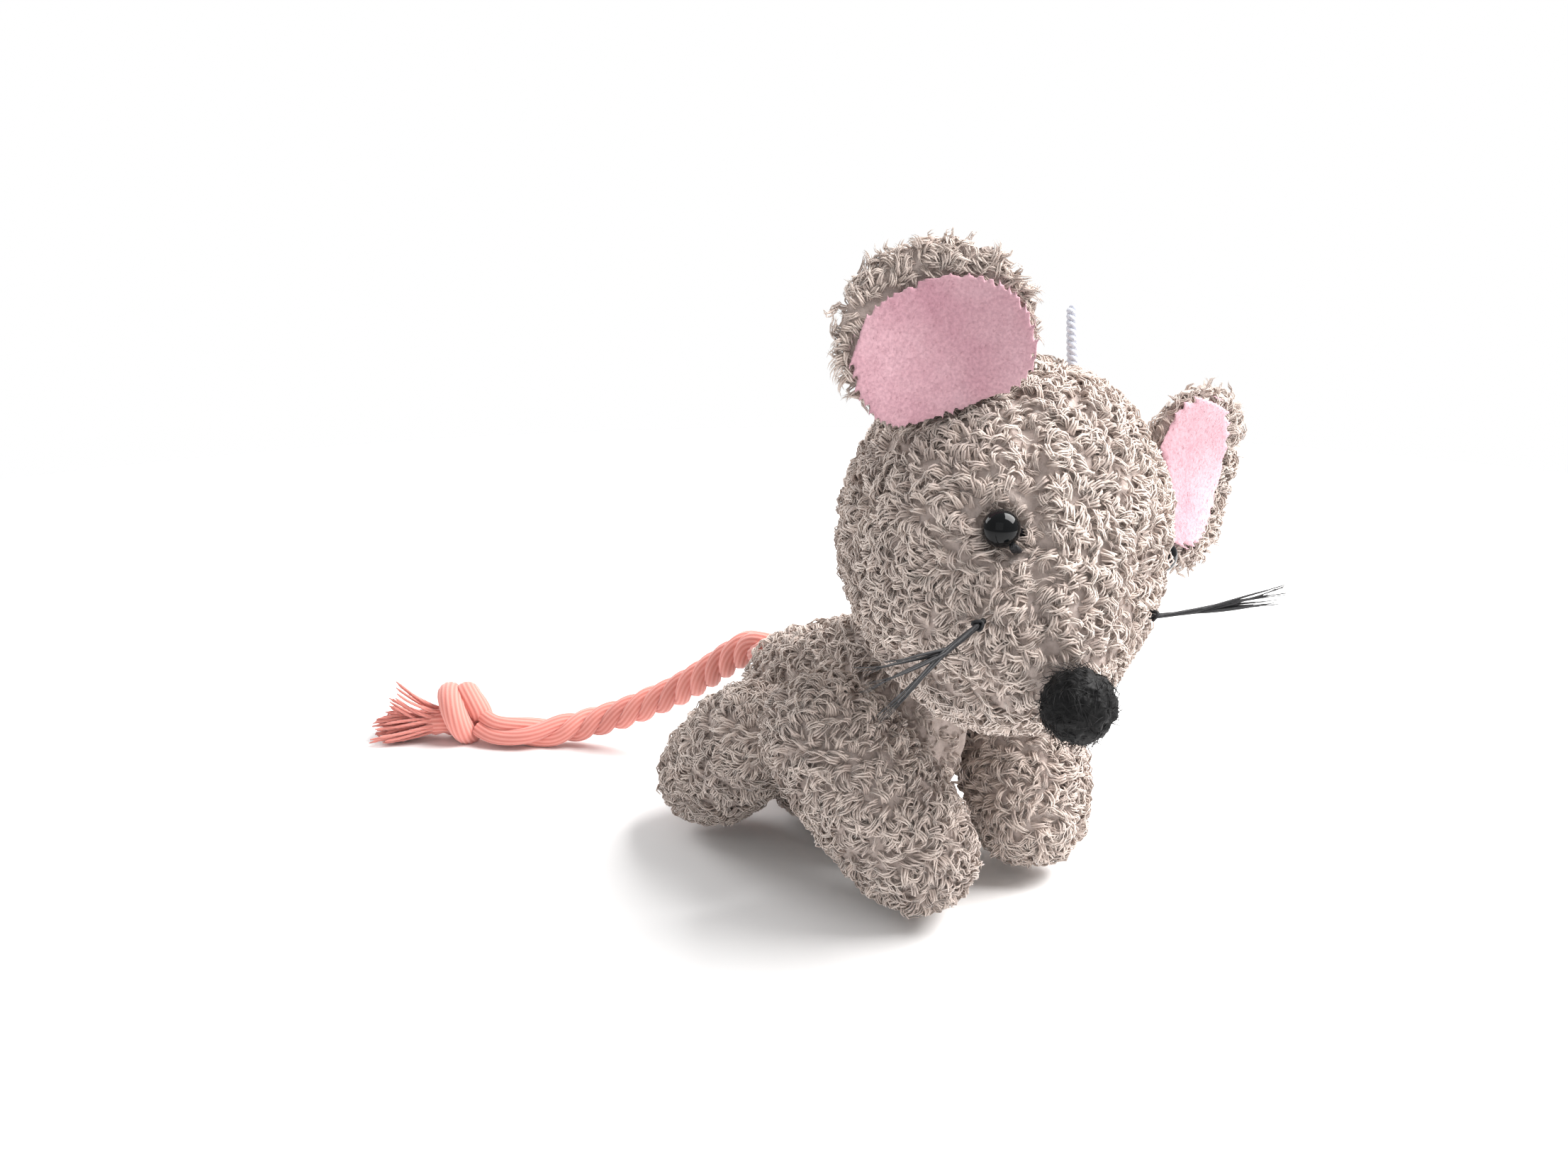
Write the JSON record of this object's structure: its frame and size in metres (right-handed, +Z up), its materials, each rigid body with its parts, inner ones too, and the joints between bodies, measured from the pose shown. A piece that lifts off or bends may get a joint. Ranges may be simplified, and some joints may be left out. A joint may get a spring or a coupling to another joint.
{
  "type": "plush mouse",
  "caption": "Small curly-plush mouse with a felt-ball nose, bead eyes, thread-jointed head and limbs, lined ears and a knotted cotton-rope tail.",
  "frame": {"origin": "the point of the flat belly that the mouse rests on, on its middle plane", "axes": "+Z up; the mouse faces -Y; its right side is towards -X"},
  "size_m": [0.0793, 0.1501, 0.0944],
  "materials": {
    "curly_plush": "short curly pile, matt",
    "pink_felt": "brushed felt, matt",
    "pink_cotton_rope": "twisted cotton, matt",
    "fibre_filling": "loose polyester fibre",
    "black_bead": "polished",
    "black_felt": "needle-felted wool",
    "black_thread": "waxed thread",
    "white_cord": "translucent twisted cord"
  },
  "bodies": {
    "torso": {"torso_side_left": "curly_plush", "torso_side_right": "curly_plush", "torso_belly_panel": "curly_plush", "torso_stuffing": "fibre_filling", "foreleg_thread": "black_thread", "hindleg_thread": "black_thread", "neck_thread": "black_thread", "tail_anchor": "pink_cotton_rope"},
    "head": {"head_crown_gusset": "curly_plush", "head_cheek_left": "curly_plush", "head_cheek_right": "curly_plush", "head_chin_panel": "curly_plush", "head_stuffing": "fibre_filling", "eye_left": "black_bead", "eye_right": "black_bead", "eye_thread": "black_thread", "nose_ball": "black_felt", "whiskers_left": "black_thread", "whiskers_right": "black_thread", "hang_loop": "white_cord"},
    "ear_left": {"ear_back_left": "curly_plush", "ear_lining_left": "pink_felt"},
    "ear_right": {"ear_back_right": "curly_plush", "ear_lining_right": "pink_felt"},
    "foreleg_left": {"foreleg_left_skin": "curly_plush", "foreleg_left_stuffing": "fibre_filling"},
    "foreleg_right": {"foreleg_right_skin": "curly_plush", "foreleg_right_stuffing": "fibre_filling"},
    "hindleg_left": {"hindleg_left_skin": "curly_plush", "hindleg_left_stuffing": "fibre_filling"},
    "hindleg_right": {"hindleg_right_skin": "curly_plush", "hindleg_right_stuffing": "fibre_filling"},
    "tail": {"tail_rope": "pink_cotton_rope", "tail_knot": "pink_cotton_rope", "tail_tassel": "pink_cotton_rope"}
  },
  "joints": [
    {"name": "head_turn", "type": "hinge", "parent": "torso", "child": "head", "pos_m": [0, -0.0315, 0.0535], "axis": [0, -0.7615, 0.6481], "range_deg": [-10, 50]},
    {"name": "ear_left_fold", "type": "hinge", "parent": "head", "child": "ear_left", "pos_m": [0.01779, -0.04405, 0.06353], "axis": [-0.3753, -0.0575, -0.9251], "range_deg": [-2, 6], "stiffness_Nm_per_rad": 0.01},
    {"name": "ear_right_fold", "type": "hinge", "parent": "head", "child": "ear_right", "pos_m": [-0.01289, -0.03505, 0.07474], "axis": [0.7249, -0.6027, 0.3336], "range_deg": [-2, 3], "stiffness_Nm_per_rad": 0.01},
    {"name": "foreleg_left_swing", "type": "hinge", "parent": "torso", "child": "foreleg_left", "pos_m": [0.019, -0.018, 0.0255], "axis": [1, 0, 0], "range_deg": [-8, 10]},
    {"name": "foreleg_right_swing", "type": "hinge", "parent": "torso", "child": "foreleg_right", "pos_m": [-0.019, -0.018, 0.0255], "axis": [1, 0, 0], "range_deg": [-8, 10]},
    {"name": "hindleg_left_swing", "type": "hinge", "parent": "torso", "child": "hindleg_left", "pos_m": [0.017, 0.001, 0.0195], "axis": [1, 0, 0], "range_deg": [-12, 15]},
    {"name": "hindleg_right_swing", "type": "hinge", "parent": "torso", "child": "hindleg_right", "pos_m": [-0.017, 0.001, 0.0195], "axis": [1, 0, 0], "range_deg": [-12, 15]},
    {"name": "tail_swing", "type": "hinge", "parent": "torso", "child": "tail", "pos_m": [0.0004, 0.0186, 0.025], "axis": [0, 0, 1], "range_deg": [-12, 12]}
  ]
}
